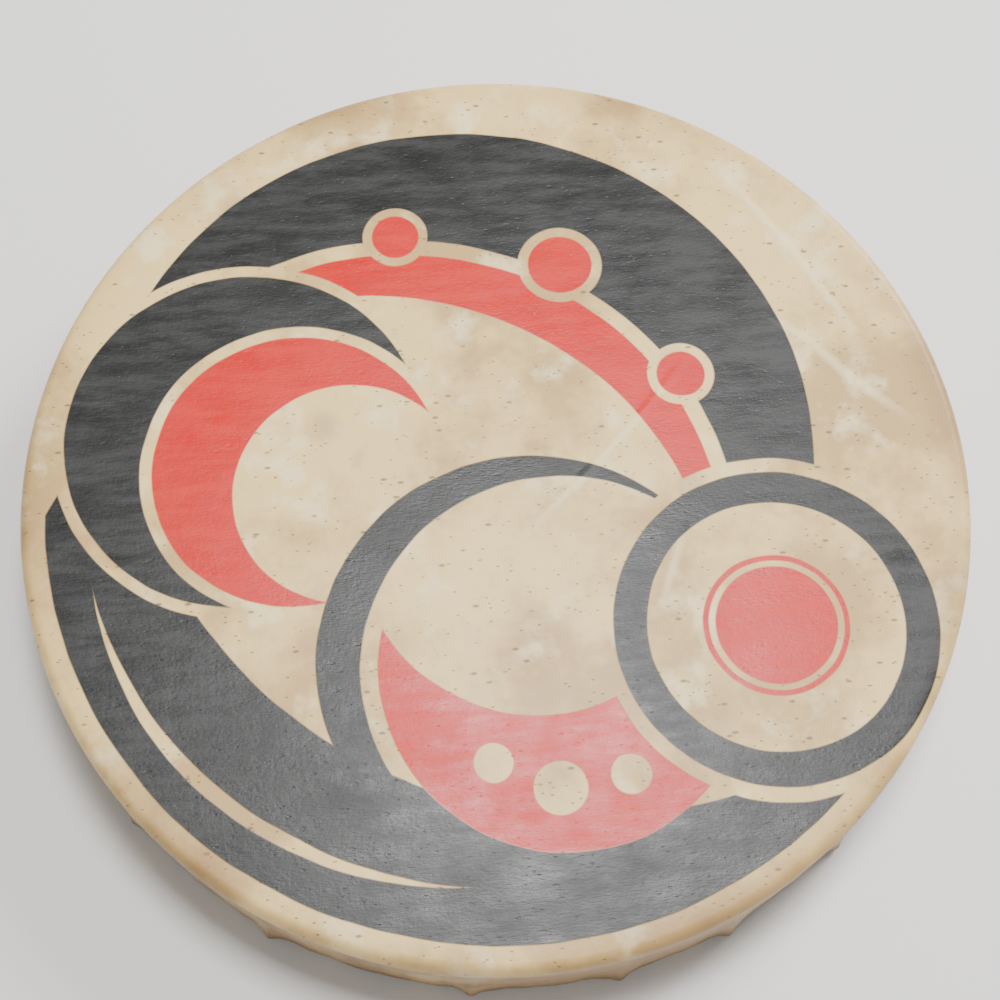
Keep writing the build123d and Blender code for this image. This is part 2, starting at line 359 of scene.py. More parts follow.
@dataclass(frozen=True)
class PaintedRawhide:
    """Pale dried skin with cloudy thin places and flecks, painted by hand on its outer face."""

    head_radius: float
    head_height: float
    rim_round: float
    pale: Colour = (0.90, 0.64, 0.255, 1.0)
    cloudy: Colour = (0.56, 0.36, 0.135, 1.0)
    milky: Colour = (0.98, 0.83, 0.48, 1.0)
    # The fleck colour marks real flecks and soil, and at the foot of the skirt it also serves as
    # painted shade near the floor.
    fleck_and_shade: Colour = (0.13, 0.075, 0.034, 1.0)
    # The stain colour marks real stains, and on the skirt it also stands for painted shade on the wall
    # under the rim.
    stain_and_shade: Colour = (0.33, 0.185, 0.072, 1.0)
    soot: Colour = (0.010, 0.010, 0.0098, 1.0)
    soot_thin: Colour = (0.032, 0.032, 0.0315, 1.0)
    red: Colour = (0.60, 0.005, 0.002, 1.0)
    red_thin: Colour = (0.68, 0.018, 0.007, 1.0)
    edge: float = 0.0022
    wobble: float = 0.010
    crease_half: float = 0.016
    show_through: float = 0.16

    def motif(self, shader: Shader) -> tuple[Number, Number]:
        """Paint the strokes.

        Each disc is radius minus distance, a stroke is the least of its discs, and black and
        red are the most of their strokes, so both are positive inside and negative outside.

        Args:
            shader: the material's tree.

        Returns:
            How much black and how much red lies on the hide, each from 0 to 1.
        """
        x, y, _ = shader.parts(shader.place)
        shake_x = (shader.noise(shader.place, 24.0, 2.0) - 0.5) * self.wobble
        shake_y = (shader.noise(shader.place, 31.0, 2.0) - 0.5) * self.wobble
        at = shader.vector(x / self.head_radius + shake_x, y / self.head_radius + shake_y, 0.0)

        def inside(disc: Disc) -> Number:
            """Depth inside a disc, negative outside."""
            return disc.radius - shader.distance(at, disc.x, disc.y)

        laid: dict[Paint, Number] = {}
        for stroke in MOTIF:
            depth = inside(stroke.within[0])
            for disc in stroke.within[1:]:
                depth = depth.least(inside(disc))
            for disc in stroke.without:
                depth = depth.least(-inside(disc))
            for paint in laid:
                if paint is not stroke.paint:
                    laid[paint] = laid[paint].least(-depth)
            if stroke.paint is not BARE:
                under = laid.get(stroke.paint)
                laid[stroke.paint] = depth if under is None else under.most(depth)
        return tuple(laid[paint].rise(-self.edge, self.edge) for paint in (BLACK, RED))

    def ridges(self, shader: Shader) -> Number:
        """Long faint creases where the wet skin was pulled: thin bands on very large circles.

        Args:
            shader: the material's tree.

        Returns:
            How much of a crease is at each place, from 0 to 1.
        """
        x, y, _ = shader.parts(shader.place)
        shake = (shader.noise(shader.place, 14.0, 3.0) - 0.5) * 0.05
        at = shader.vector(x / self.head_radius + shake, y / self.head_radius + shake, 0.0)
        total = None
        for crease in CREASES:
            ring = shader.distance(at, crease.circle.x, crease.circle.y)
            near = shader.distance(at, crease.shown.x, crease.shown.y)
            band = abs(ring - crease.circle.radius).rise(self.crease_half, 0.0)
            band = band * near.rise(crease.shown.radius, crease.shown.radius * 0.4)
            total = band if total is None else total.most(band)
        return total

    def material(self) -> bpy.types.Material:
        """Build the material: bare hide, then stains and flecks, then the stained rim, the skirt
        stained and darkened with painted shade, and the paint.

        Returns:
            The material.
        """
        shader = Shader("painted rawhide")
        place = shader.place
        x, y, z = shader.parts(place)
        radius = shader.node("ShaderNodeVectorMath", {"operation": "LENGTH"},
                             {0: shader.vector(x, y, 0.0)})
        out = Number(shader, radius.outputs["Value"]) / self.head_radius
        face = z.rise(self.head_height - 0.9 * MM, self.head_height - 0.6 * MM)
        skirt = z.rise(self.head_height - 0.5 * self.rim_round, self.head_height - 3 * self.rim_round)

        clouds = shader.noise(place, 13.0, 5.0, 0.62)
        curds = shader.noise(place, 42.0, 4.0, 0.6)
        grain = shader.noise(place, 620.0, 2.0, 0.6)
        colour = shader.mix(clouds.rise(0.42, 0.62), self.pale, self.cloudy)
        colour = shader.mix(curds.rise(0.52, 0.72) * 0.75, colour, self.milky)
        colour = shader.mix(curds.rise(0.43, 0.30) * 0.45, colour, self.cloudy)
        smudge = shader.specks(place, 26.0, 0.32, 0.16) * curds.rise(0.42, 0.60)
        colour = shader.mix(smudge * 0.45, colour, self.stain_and_shade)
        tilted = shader.turned(0.7, (1.0, 2.2, 1.0))
        flecks = shader.specks(tilted, 105.0, 0.21, 0.40)
        flecks = flecks.most(shader.specks(tilted, 260.0, 0.26, 0.26))
        colour = shader.mix(flecks * 0.75, colour, self.fleck_and_shade)
        ridge = self.ridges(shader)
        colour = shader.mix(ridge * 0.55, colour, self.milky)

        outward = shader.node("ShaderNodeVectorMath", {"operation": "NORMALIZE"},
                              {0: shader.vector(x, y, 0.0)}).outputs[0]
        spokes = shader.noise(outward, 13.0, 4.0, 0.6) * 0.55 + shader.noise(place, 34.0, 4.0) * 0.45
        worn = out.rise(0.90, 1.0) * (0.25 + shader.noise(place, 11.0, 2.0).rise(0.45, 0.65))
        colour = shader.mix((worn * 0.55).least(1.0), colour, self.stain_and_shade)
        # Partly painted shade: the skirt is mixed towards the stain colour, part real stain and part
        # the shade that lies on the wall under the rim.
        colour = shader.mix(skirt * (0.52 + 0.38 * spokes.rise(0.42, 0.60)), colour, self.stain_and_shade)
        # Painted shade: the skirt darkens towards the floor with the dark fleck colour, where shade
        # gathers at its bottom.
        floor_shade = z.rise(self.head_height * 0.35, 0.0) * (0.35 + 0.4 * spokes.rise(0.42, 0.60)) * skirt
        colour = shader.mix(floor_shade, colour, self.fleck_and_shade)
        soil = skirt * shader.noise(place, 60.0, 3.0).rise(0.55, 0.72) * 0.4
        colour = shader.mix(soil, colour, self.fleck_and_shade)

        black, red = self.motif(shader)
        brushed = shader.turned(-0.6, (1.0, 5.0, 1.0))
        brush = shader.noise(brushed, 38.0, 5.0, 0.62)
        hairs = shader.noise(brushed, 260.0, 3.0, 0.6)
        wash = (brush.rise(0.40, 0.66) * 0.7 + hairs.rise(0.42, 0.65) * 0.3).least(1.0)
        through = self.show_through * (1 - face)
        sooted = black * (face + through)
        colour = shader.mix(sooted, colour, shader.mix(wash, self.soot, self.soot_thin))
        reddened = red * (face + through * 0.6)
        colour = shader.mix(reddened, colour, shader.mix(wash, self.red, self.red_thin))

        painted = (black + red).least(1.0) * face
        roughness = 0.43 + (curds - 0.5) * 0.25 + painted * ((brush - 0.5) * 0.28 - 0.05)
        relief = (grain - 0.5) * 0.05 + (curds - 0.5) * 0.22 + ridge * 0.22 - flecks * 0.04
        relief = relief + painted * (0.05 + (hairs - 0.5) * 0.07) + skirt * (spokes - 0.5) * 0.5
        return shader.finish(colour, roughness, relief, specular=0.42)


@dataclass(frozen=True)
class BentWood:
    """Oiled wood whose grain runs round the hoop."""

    name: str
    radius: float
    light: Colour = (0.47, 0.27, 0.12, 1.0)
    dark: Colour = (0.25, 0.125, 0.048, 1.0)
    line: Colour = (0.13, 0.06, 0.025, 1.0)
    seam_angle: float = radians(140.0)

    def material(self) -> bpy.types.Material:
        """Build the material: noise drawn out along the arc, with fine dark pores.

        Returns:
            The material.
        """
        shader = Shader(self.name)
        x, y, z = shader.parts(shader.place)
        c, s = cos(pi - self.seam_angle), sin(pi - self.seam_angle)
        arc = x.maths("ARCTAN2", x * s + y * c, x * c - y * s) * self.radius
        drift = (shader.noise(shader.place, 9.0, 2.0) - 0.5) * 0.02
        rings = shader.noise(shader.vector(arc * 2.2, 0.0, (z + drift) * 110.0), 1.0, 4.0, 0.6)
        pores = shader.noise(shader.vector(arc * 22.0, z * 40.0, z * 900.0), 1.0, 2.0, 0.6)
        colour = shader.mix(rings.rise(0.36, 0.64), self.light, self.dark)
        colour = shader.mix(pores.rise(0.56, 0.70) * 0.6, colour, self.line)
        grime = shader.noise(shader.place, 24.0, 4.0).rise(0.52, 0.72)
        colour = shader.mix(grime * 0.3, colour, self.line)
        roughness = 0.42 + (rings - 0.5) * 0.3
        relief = (rings - 0.5) * 0.25 - pores.rise(0.56, 0.70) * 0.08
        return shader.finish(colour, roughness, relief)


@dataclass(frozen=True)
class EndGrain:
    """Whittled pegs: fine cloudy end grain in a dark oiled wood."""

    light: Colour = (0.30, 0.16, 0.07, 1.0)
    dark: Colour = (0.11, 0.055, 0.025, 1.0)

    def material(self) -> bpy.types.Material:
        """Build the material.

        Returns:
            The material.
        """
        shader = Shader("peg end grain")
        grain = shader.noise(shader.place, 480.0, 3.0, 0.6)
        colour = shader.mix(grain.rise(0.38, 0.62), self.light, self.dark)
        return shader.finish(colour, 0.5, (grain - 0.5) * 0.12)


@dataclass(frozen=True)
class Strip:
    """Hide or leather cut in strips, with fibres that follow the piece's own map.

    lengths is how often the fibres change along the map and rounds how often round it.
    """

    name: str
    light: Colour
    dark: Colour
    roughness: float
    lengths: float
    rounds: float
    relief: float

    def material(self) -> bpy.types.Material:
        """Build the material.

        Returns:
            The material.
        """
        shader = Shader(self.name)
        u, v, _ = shader.parts(shader.along)
        side, up = (v * TURN + pi / 2).sine() * self.rounds, (v * TURN).sine() * self.rounds
        fibres = shader.noise(shader.vector(u * self.lengths, side, up), 1.0, 3.0, 0.6)
        patches = shader.noise(shader.place, 85.0, 3.0, 0.6)
        specks = shader.noise(shader.place, 1500.0, 2.0, 0.6)
        tone = (fibres.rise(0.38, 0.66) * 0.6 + patches.rise(0.40, 0.62) * 0.5).least(1.0)
        colour = shader.mix(tone, self.light, self.dark)
        rough = self.roughness + (patches - 0.5) * 0.3
        height = ((fibres - 0.5) + (specks - 0.5) * 0.5) * self.relief
        return shader.finish(colour, rough, height, specular=0.45)


RAWHIDE_LACE = Strip("rawhide lace", (0.66, 0.53, 0.32, 1.0),
                     (0.42, 0.29, 0.13, 1.0), 0.42, 60.0, 1.6, 0.16)
RING_HIDE = Strip("twisted rawhide", (0.50, 0.36, 0.19, 1.0),
                  (0.27, 0.17, 0.08, 1.0), 0.45, 90.0, 1.8, 0.14)
WRAP_LEATHER = Strip("wrap leather", (0.205, 0.095, 0.042, 1.0),
                     (0.085, 0.036, 0.017, 1.0), 0.55, 900.0, 1.0, 0.14)
SINEW = Strip("waxed sinew", (0.62, 0.50, 0.30, 1.0),
              (0.36, 0.26, 0.13, 1.0), 0.5, 2500.0, 1.0, 0.08)


# Surfaces


def surface(name: str, grid: Array, round_rows: bool = False, round_columns: bool = True,
            scale: tuple[float, float] = (1.0, 1.0), skip: Array | None = None) -> bpy.types.Object:
    """Make a mesh from a grid of points.

    Each grid cell is one face, and its map runs from 0 to scale along the rows and round the
    columns. A grid whose columns and rows both close is a ring.

    Args:
        name: the piece's name.
        grid: points as rows x columns x 3.
        round_rows: whether the last row joins the first.
        round_columns: whether the last column joins the first.
        scale: the map's size along the rows and round the columns.
        skip: cells to leave out, as rows x columns of True and False.

    Returns:
        The object, linked to the scene at the origin.
    """
    rows, columns = grid.shape[:2]
    i = np.arange(rows if round_rows else rows - 1)[:, None]
    j = np.arange(columns if round_columns else columns - 1)[None, :]
    i, j = np.broadcast_arrays(i, j)
    if skip is not None:
        keep = ~skip[: i.shape[0], : i.shape[1]]
        i, j = i[keep], j[keep]
    i, j = i.ravel(), j.ravel()
    corners = ((i, j), (i, j + 1), (i + 1, j + 1), (i + 1, j))
    faces = np.stack([a % rows * columns + b % columns for a, b in corners], axis=1)
    used, faces = np.unique(faces, return_inverse=True)
    faces = faces.reshape(-1, 4)
    mapped = np.stack([np.stack([a / rows * scale[0], b / columns * scale[1]], axis=1)
                       for a, b in corners], axis=1)
    mesh = bpy.data.meshes.new(name)
    mesh.vertices.add(len(used))
    mesh.vertices.foreach_set("co", grid.reshape(-1, 3)[used].ravel().astype(np.float32))
    mesh.loops.add(faces.size)
    mesh.loops.foreach_set("vertex_index", faces.ravel().astype(np.int32))
    mesh.polygons.add(len(faces))
    mesh.polygons.foreach_set("loop_start", np.arange(0, faces.size, 4, dtype=np.int32))
    mesh.polygons.foreach_set("use_smooth", np.ones(len(faces), bool))
    layer = mesh.uv_layers.new(name="run")
    layer.data.foreach_set("uv", mapped.reshape(-1).astype(np.float32))
    mesh.update(calc_edges=True)
    work = bmesh.new()
    work.from_mesh(mesh)
    bmesh.ops.remove_doubles(work, verts=work.verts, dist=WELD)
    work.to_mesh(mesh)
    work.free()
    piece = bpy.data.objects.new(name, mesh)
    bpy.context.scene.collection.objects.link(piece)
    return piece


def unit(vectors: Array) -> Array:
    """Vectors along the last axis, each divided by its length."""
    return vectors / np.linalg.norm(vectors, axis=-1, keepdims=True)


def cross_section(count: int, half_width: Array, half_height: Array, squareness: float) -> Array:
    """A rounded outline: cosine and sine, each raised to 2 over squareness with its sign kept.

    Args:
        count: points round it.
        half_width: half its width, one for each row.
        half_height: half its height, one for each row.
        squareness: 2 for an ellipse, more for a bar with rounded corners.

    Returns:
        Points as rows x count x 2.
    """
    t = np.linspace(0, TURN, count, endpoint=False)
    power = 2 / squareness
    side = np.sign(np.cos(t)) * np.abs(np.cos(t)) ** power
    up = np.sign(np.sin(t)) * np.abs(np.sin(t)) ** power
    return np.stack([half_width[:, None] * side, half_height[:, None] * up], axis=-1)


def swept(path: Array, across: Array, outward: Array, outline: Array) -> Array:
    """Carry an outline along a path: path + across * width + outward * height.

    Args:
        path: centre points, rows x 3.
        across: the outline's first axis at each row.
        outward: the outline's second axis at each row.
        outline: rows x count x 2.

    Returns:
        The grid, rows x count x 3.
    """
    return path[:, None] + across[:, None] * outline[..., :1] + outward[:, None] * outline[..., 1:]


def spun(vectors: Array, angle: float) -> Array:
    """Vectors turned about +Z.

    Args:
        vectors: any number of them, along the last axis.
        angle: in radians.

    Returns:
        The turned vectors.
    """
    c, s = cos(angle), sin(angle)
    return vectors @ np.array([[c, s, 0.0], [-s, c, 0.0], [0.0, 0.0, 1.0]])


def ripple(at: Array, seed: float, *waves: tuple[float, float]) -> Array:
    """A sum of sines, each (count round the circle, height), with phases from the seed."""
    phases = (seed * 1.7 * (k + 1) for k in range(len(waves)))
    return sum(height * np.sin(count * at + phase) for (count, height), phase in zip(waves, phases))


def dress(piece: bpy.types.Object, material: bpy.types.Material, slot: str, *nodes: str) -> None:
    """Give a new piece its material, its body and the frame nodes that it stands for.

    Args:
        piece: the piece.
        material: its finish.
        slot: the record's name for that finish; not used.
        nodes: the frame nodes that it replaces.
    """
    piece.data.materials.append(material)
    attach(piece, "root")
    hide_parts(*nodes)
    log.info("%s: %d faces, for %s", piece.name, len(piece.data.polygons), ", ".join(nodes))


def recoat(node: str, material: bpy.types.Material) -> None:
    """Give a frame node a better material and leave its mesh alone.

    Args:
        node: the node's name.
        material: its finish.
    """
    piece = bpy.data.objects[node]
    for place in piece.material_slots:
        place.material = material
    if not piece.material_slots:
        piece.data.materials.append(material)
    log.info("%s: new finish %s", node, material.name)


# The drum


@dataclass
class Plan:
    """Sizes that the sub-assemblies share."""

    head_radius: float = 203.0 * MM
    depth: float = 62.0 * MM
    handle_turn: float = 5.0
    lace_count: int = 20
    hole_radius: float = 180.1 * MM
    handle_height: float = 11.0 * MM
    ring_radius: float = 21.0 * MM
    hole_strays: tuple[float, ...] = (
        0.8, -1.4, 0.6, 1.5, -0.9, -0.4, 1.2, -1.6, 0.5, 1.1,
        -1.2, 0.4, -4.0, -0.3, 6.4, 6.0, 2.0, 1.0, -0.8, 0.3,
    )

    def hole_angles(self) -> Array:
        """Where the lacing holes lie, in radians round the drum: even spacing plus the strays."""
        even = self.handle_turn + 360.0 / self.lace_count * np.arange(self.lace_count)
        return np.radians(even + np.array(self.hole_strays))

    def arm_angle(self, arm: int) -> float:
        """The direction of one arm of the handle, in radians."""
        return radians(self.handle_turn + 90.0 * arm)


@dataclass
class RawhideHead:
    """One skin: the face, the rounded rim, the pleated skirt and the lip that the laces hold."""

    plan: Plan
    thickness: float = 1.2 * MM
    rim_round: float = 5.0 * MM
    back_round: float = 3.0 * MM
    lift_start: float = 194.0 * MM
    knee: tuple[float, float] = (184.0 * MM, 3.0 * MM)
    edge: tuple[float, float] = (168.0 * MM, 3.9 * MM)
    scallop_radius: float = 17.0 * MM
    scallop_centre: float = 166.0 * MM
    hole: float = 2.1 * MM
    corner_reach: float = 1.9 * MM
    crest_reach: float = 1.6 * MM
    corner_least: float = 0.15 * MM
    crest_half: float = 3.2 * MM
    crest_spread: float = 9.0 * MM
    fold_depth: float = 0.55 * MM
    fold_half: float = 2.4 * MM
    edge_curl: float = 0.5 * MM
    scallop_soft: float = 1.5 * MM
    under_gap: float = 0.22 * MM
    under_half: float = 5.0 * MM
    sway: float = 0.11 * MM
    sway_sink: float = 0.18 * MM
    sway_fade: float = 20.0 * MM
    crowding: float = 0.6
    columns_per_gap: int = 24
    hole_columns: int = 8
    blank_diameter: float = 0.6

    def columns(self) -> tuple[Array, Array, Array]:
        """Angles of the grid's columns, closer together near the holes.

        Between two holes, the angle is hole + gap * (t - crowding sin(2 pi t) / 2 pi).

        Returns:
            The angles, each column's arc from its nearest hole, and its angle past the hole
            before it.
        """
        holes = self.plan.hole_angles()
        gaps = np.diff(np.append(holes, holes[0] + TURN))
        t = np.arange(self.columns_per_gap) / self.columns_per_gap
        eased = t - self.crowding * np.sin(TURN * t) / TURN
        angles = (holes[:, None] + gaps[:, None] * eased).ravel()
        share = np.tile(eased, len(holes))
        width = np.repeat(gaps, self.columns_per_gap)
        arc = np.minimum(share, 1 - share) * width * self.plan.head_radius
        return angles, arc, share * width

    def lip_inner(self, angles: Array, into_gap: Array, gap: Array) -> Array:
        """Radius of the lip's cut edge: a scallop between two holes, a rounded tongue at each.

        Args:
            angles: the columns' angles.
            into_gap: each column's angle past the hole before it.
            gap: the angle between the holes on either side of it.

        Returns:
            The radius at each column.
        """
        off = into_gap - gap / 2
        reach = self.scallop_radius**2 - (self.scallop_centre * np.sin(off)) ** 2
        scallop = self.scallop_centre * np.cos(off) + np.sqrt(np.maximum(reach, 0))
        scallop = np.where(reach > 0, scallop, 0)
        soft = self.scallop_soft
        tongue = self.edge[0] + ripple(angles, 3.0, (11, 0.5 * MM), (17, 0.4 * MM))
        blended = tongue + soft * np.logaddexp(0, (scallop - tongue) / soft)
        return blended + ripple(angles, 5.0, (29, 0.3 * MM))

    def profile(self) -> tuple[Array, Array, Array, Array]:
        """The skin's section from the middle of the face to the lip.

        Returns:
            Radius and height of each row, how far down the skirt it is from 0 to 1, and how
            far along the lip it is from 0 to 1.
        """
        radius, depth = self.plan.head_radius, self.plan.depth
        flat = (radius - self.rim_round) * np.sqrt(np.linspace(0.0004, 1, 26))[:-1]
        turn = np.linspace(0, pi / 2, 9)
        fall = np.linspace(0, 1, 22)[1:-1]
        skirt_top, skirt_end = depth - self.rim_round, self.back_round
        under = np.linspace(radius - self.back_round, self.lift_start, 5)[1:-1]
        hole_share = (self.lift_start - self.plan.hole_radius) / (self.lift_start - self.edge[0])
        lip = np.concatenate([np.linspace(0, hole_share, 10), np.linspace(hole_share, 1, 10)[1:]])
        r = np.concatenate([
            flat,
            radius - self.rim_round + self.rim_round * np.sin(turn),
            np.full(len(fall), radius),
            radius - self.back_round + self.back_round * np.cos(turn[::2]),
            under,
            self.lift_start - lip * (self.lift_start - self.edge[0]),
        ])
        z = np.concatenate([
            np.full(len(flat), depth),
            skirt_top + self.rim_round * np.cos(turn),
            skirt_top + fall * (skirt_end - skirt_top),
            self.back_round - self.back_round * np.sin(turn[::2]),
            np.zeros(len(under) + len(lip)),
        ])
        down = np.clip((skirt_top - z) / (skirt_top - skirt_end), 0, 1)
        along = np.concatenate([np.zeros(len(r) - len(lip)), lip])
        return r, z, down, along

    def grid(self) -> tuple[Array, Array]:
        """The skin's outer surface.

        The radius is the section's, plus a corner that makes the back edge a soft polygon and
        a crest that makes each pleat, both growing with the square of the way down the skirt
        and dying out under the hoop. Fine wrinkles grow evenly on the way down. The lip rises to its knee and then follows the laces, and
        every hole is opened by moving the points near it outwards.

        Returns:
            The grid, and which of its cells the holes take.
        """
        angles, arc, into_gap = self.columns()
        holes = self.plan.hole_angles()
        gap = np.repeat(np.diff(np.append(holes, holes[0] + TURN)), self.columns_per_gap)
        r, z, down, along = self.profile()
        face_rows = int(np.sum(r[: np.argmax(down > 0)] < self.plan.head_radius - self.rim_round))
        polygon = (self.plan.head_radius + self.corner_reach) * np.cos(gap / 2)
        polygon = polygon / np.cos(into_gap - gap / 2) - self.plan.head_radius
        polygon = np.maximum(polygon, self.corner_least)
        width = (self.crest_half + self.crest_spread * (1 - down))[:, None]
        crest = self.crest_reach * np.exp(-((arc[None] / width) ** 2))
        wrinkle = ripple(angles, 2.0, (47, 0.16 * MM), (71, 0.12 * MM), (113, 0.08 * MM))
        past_edge = (self.plan.head_radius - r) / (self.plan.head_radius - self.lift_start)
        tucked = np.where(down >= 1, np.clip(past_edge, 0, 1), 0)
        spread = (down**2 * (1 - tucked))[:, None] * (polygon[None] + crest)
        spread += (down * (1 - tucked))[:, None] * wrinkle[None]
        inner = self.lip_inner(angles, into_gap, gap)
        lip_r = self.lift_start - along[:, None] * (self.lift_start - inner[None])
        rr = np.where(along[:, None] > 0, lip_r, r[:, None] + spread)

        knee_rise = np.clip((self.lift_start - rr) / (self.lift_start - self.knee[0]), 0, None)
        beyond = np.clip((self.knee[0] - rr) / (self.knee[0] - self.edge[0]), 0, None)
        soft_knee = 1 - np.exp(-(knee_rise**1.6) * 2.2)
        rise = self.knee[1] * soft_knee + (self.edge[1] - self.knee[1]) * beyond
        fold = self.fold_depth * np.exp(-((arc[None] / self.fold_half) ** 2))
        fold = fold * np.sin(pi * np.clip(knee_rise, 0, 1))
        waves = ripple(angles, 1.0, (9, 0.3 * MM), (23, 0.25 * MM))
        curl = along[:, None] ** 5 * (self.edge_curl + waves[None])
        zz = z[:, None] + np.where(along[:, None] > 0, np.maximum(rise - fold, 0.0) + curl, 0.0)
        under = (tucked > 0) & (along == 0)
        off_floor = self.under_gap * (1 - np.exp(-((arc[None] / self.under_half) ** 2)))
        zz = zz + under[:, None] * off_floor

        x, y = rr * np.cos(angles)[None], rr * np.sin(angles)[None]
        sway = np.sin(x * 23 + 1) * np.cos(y * 19) + 0.6 * np.sin(x * 41 - y * 37)
        sway = sway * self.sway - self.sway_sink
        on_face = np.clip((self.plan.head_radius - self.rim_round - rr) / self.sway_fade, 0, 1)
        zz = zz + np.where(np.arange(len(r))[:, None] < face_rows + 1, on_face * sway, 0.0)
        grid = np.stack([x, y, zz], axis=-1)
        return self.open_holes(grid, along, r)

    def open_holes(self, grid: Array, along: Array, r: Array) -> tuple[Array, Array]:
        """Push the points near each lacing hole outwards, and mark the four cells at its middle.

        Args:
            grid: the skin, rows x columns x 3, which is changed.
            along: how far along the lip each row is.
            r: each row's radius.

        Returns:
            The grid, and which of its cells the holes take.
        """
        row = int(np.argmin(np.where(along > 0, np.abs(r - self.plan.hole_radius), 1.0)))
        skip = np.zeros(grid.shape[:2], bool)
        lip_rows = np.flatnonzero(along > 0)
        reach = 3 * self.hole
        for k in range(self.plan.lace_count):
            column = k * self.columns_per_gap
            centre = grid[row, column, :2].copy()
            offsets = np.arange(-self.hole_columns, self.hole_columns + 1)
            near = (column + offsets) % grid.shape[1]
            patch = grid[np.ix_(lip_rows, near)]
            away = patch[..., :2] - centre
            far = np.linalg.norm(away, axis=-1, keepdims=True)
            heading = away / np.maximum(far, WELD)
            pushed = centre + heading * (self.hole + far * (1 - self.hole / reach))
            moved = np.where((far < reach) & (far > WELD), pushed, patch[..., :2])
            brim_row = np.abs(lip_rows - row)[:, None] <= 1
            brim_column = np.abs(offsets)[None, :] <= 1
            brim = (brim_row & brim_column)[..., None] & (far > WELD)
            patch[..., :2] = np.where(brim, centre + heading * self.hole, moved)
            grid[np.ix_(lip_rows, near)] = patch
            for cell_row in (row - 1, row):
                skip[cell_row, [(column - 1) % grid.shape[1], column]] = True
        return grid, skip

    def build(self) -> bpy.types.Object:
        """Make the skin, close the middle of its face and give it its thickness.

        Returns:
            The object.
        """
        grid, skip = self.grid()
        middle = np.repeat(grid[:1].mean(axis=1, keepdims=True), grid.shape[1], axis=1)
        grid = np.concatenate([middle, grid])[::-1]
        skip = np.concatenate([np.zeros_like(skip[:1]), skip])[:-1][::-1]
        head = surface("painted_skin", grid, skip=skip)
        thick = head.modifiers.new("thickness", "SOLIDIFY")
        thick.thickness = self.thickness
        thick.offset = -1.0
        return head

    def dress(self) -> None:
        head = self.build()
        paint = PaintedRawhide(self.plan.head_radius, self.plan.depth, self.rim_round)
        dress(head, paint.material(), "painted_rawhide", "rawhide_head")


@dataclass
class Hoop:
    """The bent-wood hoop and the four pegs across its scarf joint."""

    mean_radius: float = 196.75 * MM

    def dress(self) -> None:
        """Give both their wood."""
        recoat("hoop", BentWood("bent wood", self.mean_radius).material())
        recoat("scarf_pegs", EndGrain().material())


